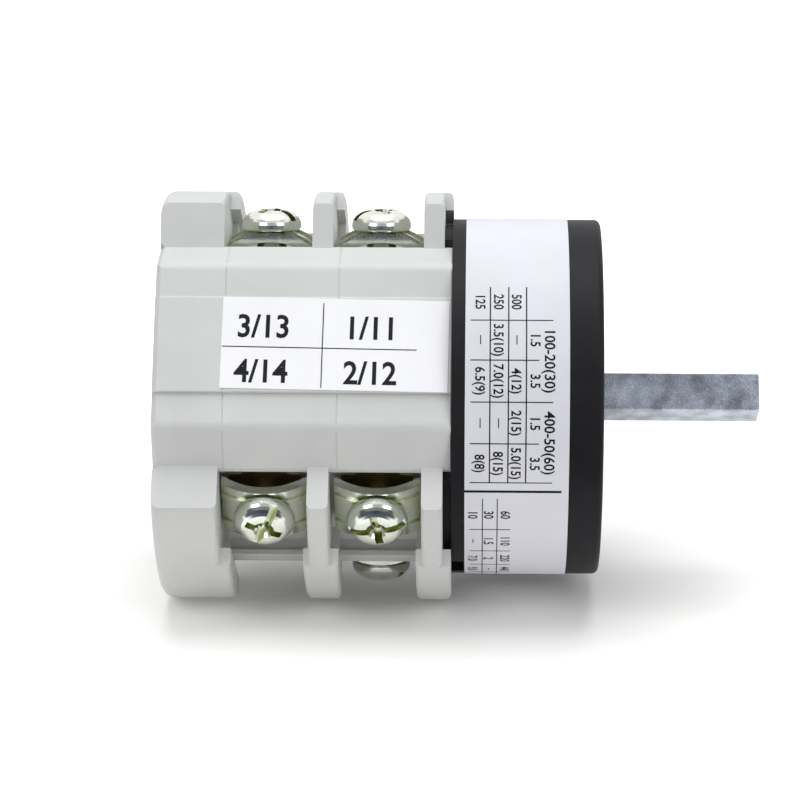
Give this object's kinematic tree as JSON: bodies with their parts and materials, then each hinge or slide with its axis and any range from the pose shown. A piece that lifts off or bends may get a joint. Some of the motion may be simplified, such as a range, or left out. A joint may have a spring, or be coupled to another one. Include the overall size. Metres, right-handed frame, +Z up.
{
  "type": "rotary cam switch",
  "caption": "Rotary cam selector switch with a bare square shaft, round detent housing, stacked contact stages and screw terminals between barrier fins.",
  "frame": {"origin": "centre of the detent housing's front face, on the shaft's axis", "axes": "+X along the shaft to its free end, +Z up as the switch lies on a table on the rims of its barriers"},
  "size_m": [0.0772, 0.0506, 0.0528],
  "materials": {
    "grey_plastic": "fine matt moulding",
    "black_plastic": "fine matt moulding",
    "inner_plastic": "plain moulding",
    "cam_plastic": "plain moulding",
    "zinc_plated_steel": "zinc plated, faintly yellow",
    "shaft_zinc": "bright zinc, mottled",
    "inner_steel": "bare steel",
    "spring_steel": "spring wire",
    "brass": "rolled brass",
    "copper": "copper strip with contact buttons",
    "label_paper": "printed film"
  },
  "bodies": {
    "base": {"detent_housing": "black_plastic", "housing_back_plate": "black_plastic", "stage_housing_1": "grey_plastic", "stage_housing_2": "grey_plastic", "rear_cover": "grey_plastic", "mounting_inserts": "brass", "tie_screws": "zinc_plated_steel", "stop_ring": "inner_steel", "detent_slides": "inner_plastic", "detent_rollers": "inner_steel", "detent_springs": "spring_steel", "terminal_label": "label_paper", "rating_label": "label_paper", "fixed_contact_1": "brass", "clamp_plate_1": "zinc_plated_steel", "terminal_screw_1": "zinc_plated_steel", "fixed_contact_2": "brass", "clamp_plate_2": "zinc_plated_steel", "terminal_screw_2": "zinc_plated_steel", "fixed_contact_3": "brass", "clamp_plate_3": "zinc_plated_steel", "terminal_screw_3": "zinc_plated_steel", "fixed_contact_4": "brass", "clamp_plate_4": "zinc_plated_steel", "terminal_screw_4": "zinc_plated_steel", "fixed_contact_5": "brass", "clamp_plate_5": "zinc_plated_steel", "terminal_screw_5": "zinc_plated_steel", "fixed_contact_6": "brass", "clamp_plate_6": "zinc_plated_steel", "terminal_screw_6": "zinc_plated_steel", "contact_spring_front_1": "spring_steel", "contact_spring_back_1": "spring_steel", "contact_spring_front_2": "spring_steel"},
    "rotor": {"shaft": "shaft_zinc", "detent_star": "inner_plastic", "stop_cam": "inner_steel", "cam_1": "cam_plastic", "cam_2": "cam_plastic", "retaining_clip": "spring_steel"},
    "carriage_front_1": {"follower_front_1": "inner_plastic", "bridge_contact_front_1": "copper"},
    "carriage_back_1": {"follower_back_1": "inner_plastic", "bridge_contact_back_1": "copper"},
    "carriage_front_2": {"follower_front_2": "inner_plastic", "bridge_contact_front_2": "copper"}
  },
  "joints": [
    {"name": "rotor_turn", "type": "hinge", "parent": "base", "child": "rotor", "pos_m": [0, 0, 0], "axis": [1, 0, 0], "range_deg": [-60, 60]},
    {"name": "carriage_front_1_slide", "type": "slide", "parent": "base", "child": "carriage_front_1", "axis": [0, -0.848, 0.5299], "range_m": [-0.00108, 0.00108], "deforming": ["contact_spring_front_1"]},
    {"name": "carriage_back_1_slide", "type": "slide", "parent": "base", "child": "carriage_back_1", "axis": [0, 0.848, -0.5299], "range_m": [-0.00108, 0.00108], "deforming": ["contact_spring_back_1"]},
    {"name": "carriage_front_2_slide", "type": "slide", "parent": "base", "child": "carriage_front_2", "axis": [0, -0.848, 0.5299], "range_m": [-0.00108, 0.00108], "deforming": ["contact_spring_front_2"]}
  ],
  "couplings": [
    {"joint": "carriage_front_1_slide", "follows": "rotor_turn", "m_per_rad": -0.001},
    {"joint": "carriage_back_1_slide", "follows": "rotor_turn", "m_per_rad": 0.001},
    {"joint": "carriage_front_2_slide", "follows": "rotor_turn", "m_per_rad": 0.001}
  ]
}
